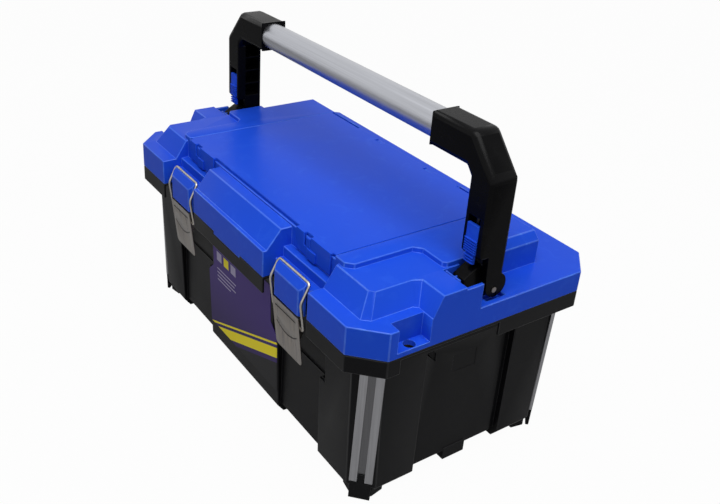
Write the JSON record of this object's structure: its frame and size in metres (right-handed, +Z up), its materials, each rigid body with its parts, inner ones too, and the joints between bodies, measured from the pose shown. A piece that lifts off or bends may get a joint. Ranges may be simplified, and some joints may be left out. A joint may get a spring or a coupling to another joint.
{
  "type": "tool box",
  "caption": "Plastic tool box with a hinged lid, an organiser cover in the lid, a folding tube handle with slide locks, toggle latches and metal corner strips.",
  "frame": {"origin": "on the ground, in the middle of the footprint", "axes": "+X along the box, -Y towards the latches, +Z up"},
  "size_m": [0.56, 0.3362, 0.411],
  "materials": {
    "black_plastic": "fine satin texture",
    "blue_plastic": "satin",
    "brushed_aluminium": "satin anodised",
    "bright_steel": "bright zinc plated",
    "label_film": "printed film"
  },
  "bodies": {
    "tub": {"corner_strip_front_left": "brushed_aluminium", "corner_strip_front_right": "brushed_aluminium", "corner_strip_rear_left": "brushed_aluminium", "corner_strip_rear_right": "brushed_aluminium", "front_label": "label_film", "hinge_pin_left": "bright_steel", "hinge_pin_right": "bright_steel", "strip_foot_front_left": "black_plastic", "strip_foot_front_right": "black_plastic", "strip_foot_rear_left": "black_plastic", "strip_foot_rear_right": "black_plastic", "tub": "black_plastic"},
    "lid": {"handle_bracket_left": "black_plastic", "handle_bracket_right": "black_plastic", "lid_shell": "blue_plastic", "organizer_hinge_rod": "bright_steel"},
    "cover": {"organizer_cover": "blue_plastic"},
    "handle": {"handle_arm_left": "black_plastic", "handle_arm_right": "black_plastic", "handle_tube": "brushed_aluminium", "pivot_pin_left": "bright_steel", "pivot_pin_right": "bright_steel", "slide_spring_left": "bright_steel", "slide_spring_right": "bright_steel"},
    "slide_left": {"slide_button_left": "blue_plastic"},
    "bail_left": {"latch_bail_left": "bright_steel"},
    "plate_left": {"latch_plate_left": "bright_steel"},
    "slide_right": {"slide_button_right": "blue_plastic"},
    "bail_right": {"latch_bail_right": "bright_steel"},
    "plate_right": {"latch_plate_right": "bright_steel"}
  },
  "joints": [
    {"name": "lid_hinge", "type": "hinge", "parent": "tub", "child": "lid", "pos_m": [0, 0.16365, 0.207], "axis": [-1, 0, 0], "range_deg": [0, 100]},
    {"name": "handle_fold", "type": "hinge", "parent": "lid", "child": "handle", "pos_m": [0, 0.00085, 0.2435], "axis": [-1, 0, 0], "range_deg": [0, 90]},
    {"name": "cover_hinge", "type": "hinge", "parent": "lid", "child": "cover", "pos_m": [0, 0.09195, 0.2658], "axis": [-1, 0, 0], "range_deg": [0, 40]},
    {"name": "slide_left", "type": "slide", "parent": "handle", "child": "slide_left", "axis": [0, 0, 1], "range_m": [0, 0.008], "stiffness_N_per_m": 300, "deforming": ["slide_spring_left"]},
    {"name": "bail_left", "type": "hinge", "parent": "lid", "child": "bail_left", "pos_m": [-0.134, -0.15555, 0.238], "axis": [-1, 0, 0], "range_deg": [0, 60]},
    {"name": "plate_left", "type": "hinge", "parent": "bail_left", "child": "plate_left", "pos_m": [-0.134, -0.16145, 0.181], "axis": [-1, 0, 0], "range_deg": [0, 120]},
    {"name": "slide_right", "type": "slide", "parent": "handle", "child": "slide_right", "axis": [0, 0, 1], "range_m": [0, 0.008], "stiffness_N_per_m": 300, "deforming": ["slide_spring_right"]},
    {"name": "bail_right", "type": "hinge", "parent": "lid", "child": "bail_right", "pos_m": [0.134, -0.15555, 0.238], "axis": [-1, 0, 0], "range_deg": [0, 60]},
    {"name": "plate_right", "type": "hinge", "parent": "bail_right", "child": "plate_right", "pos_m": [0.134, -0.16145, 0.181], "axis": [-1, 0, 0], "range_deg": [0, 120]}
  ],
  "couplings": [
    {"joint": "plate_left", "follows": "bail_left", "ratio": 2},
    {"joint": "plate_right", "follows": "bail_right", "ratio": 2}
  ]
}
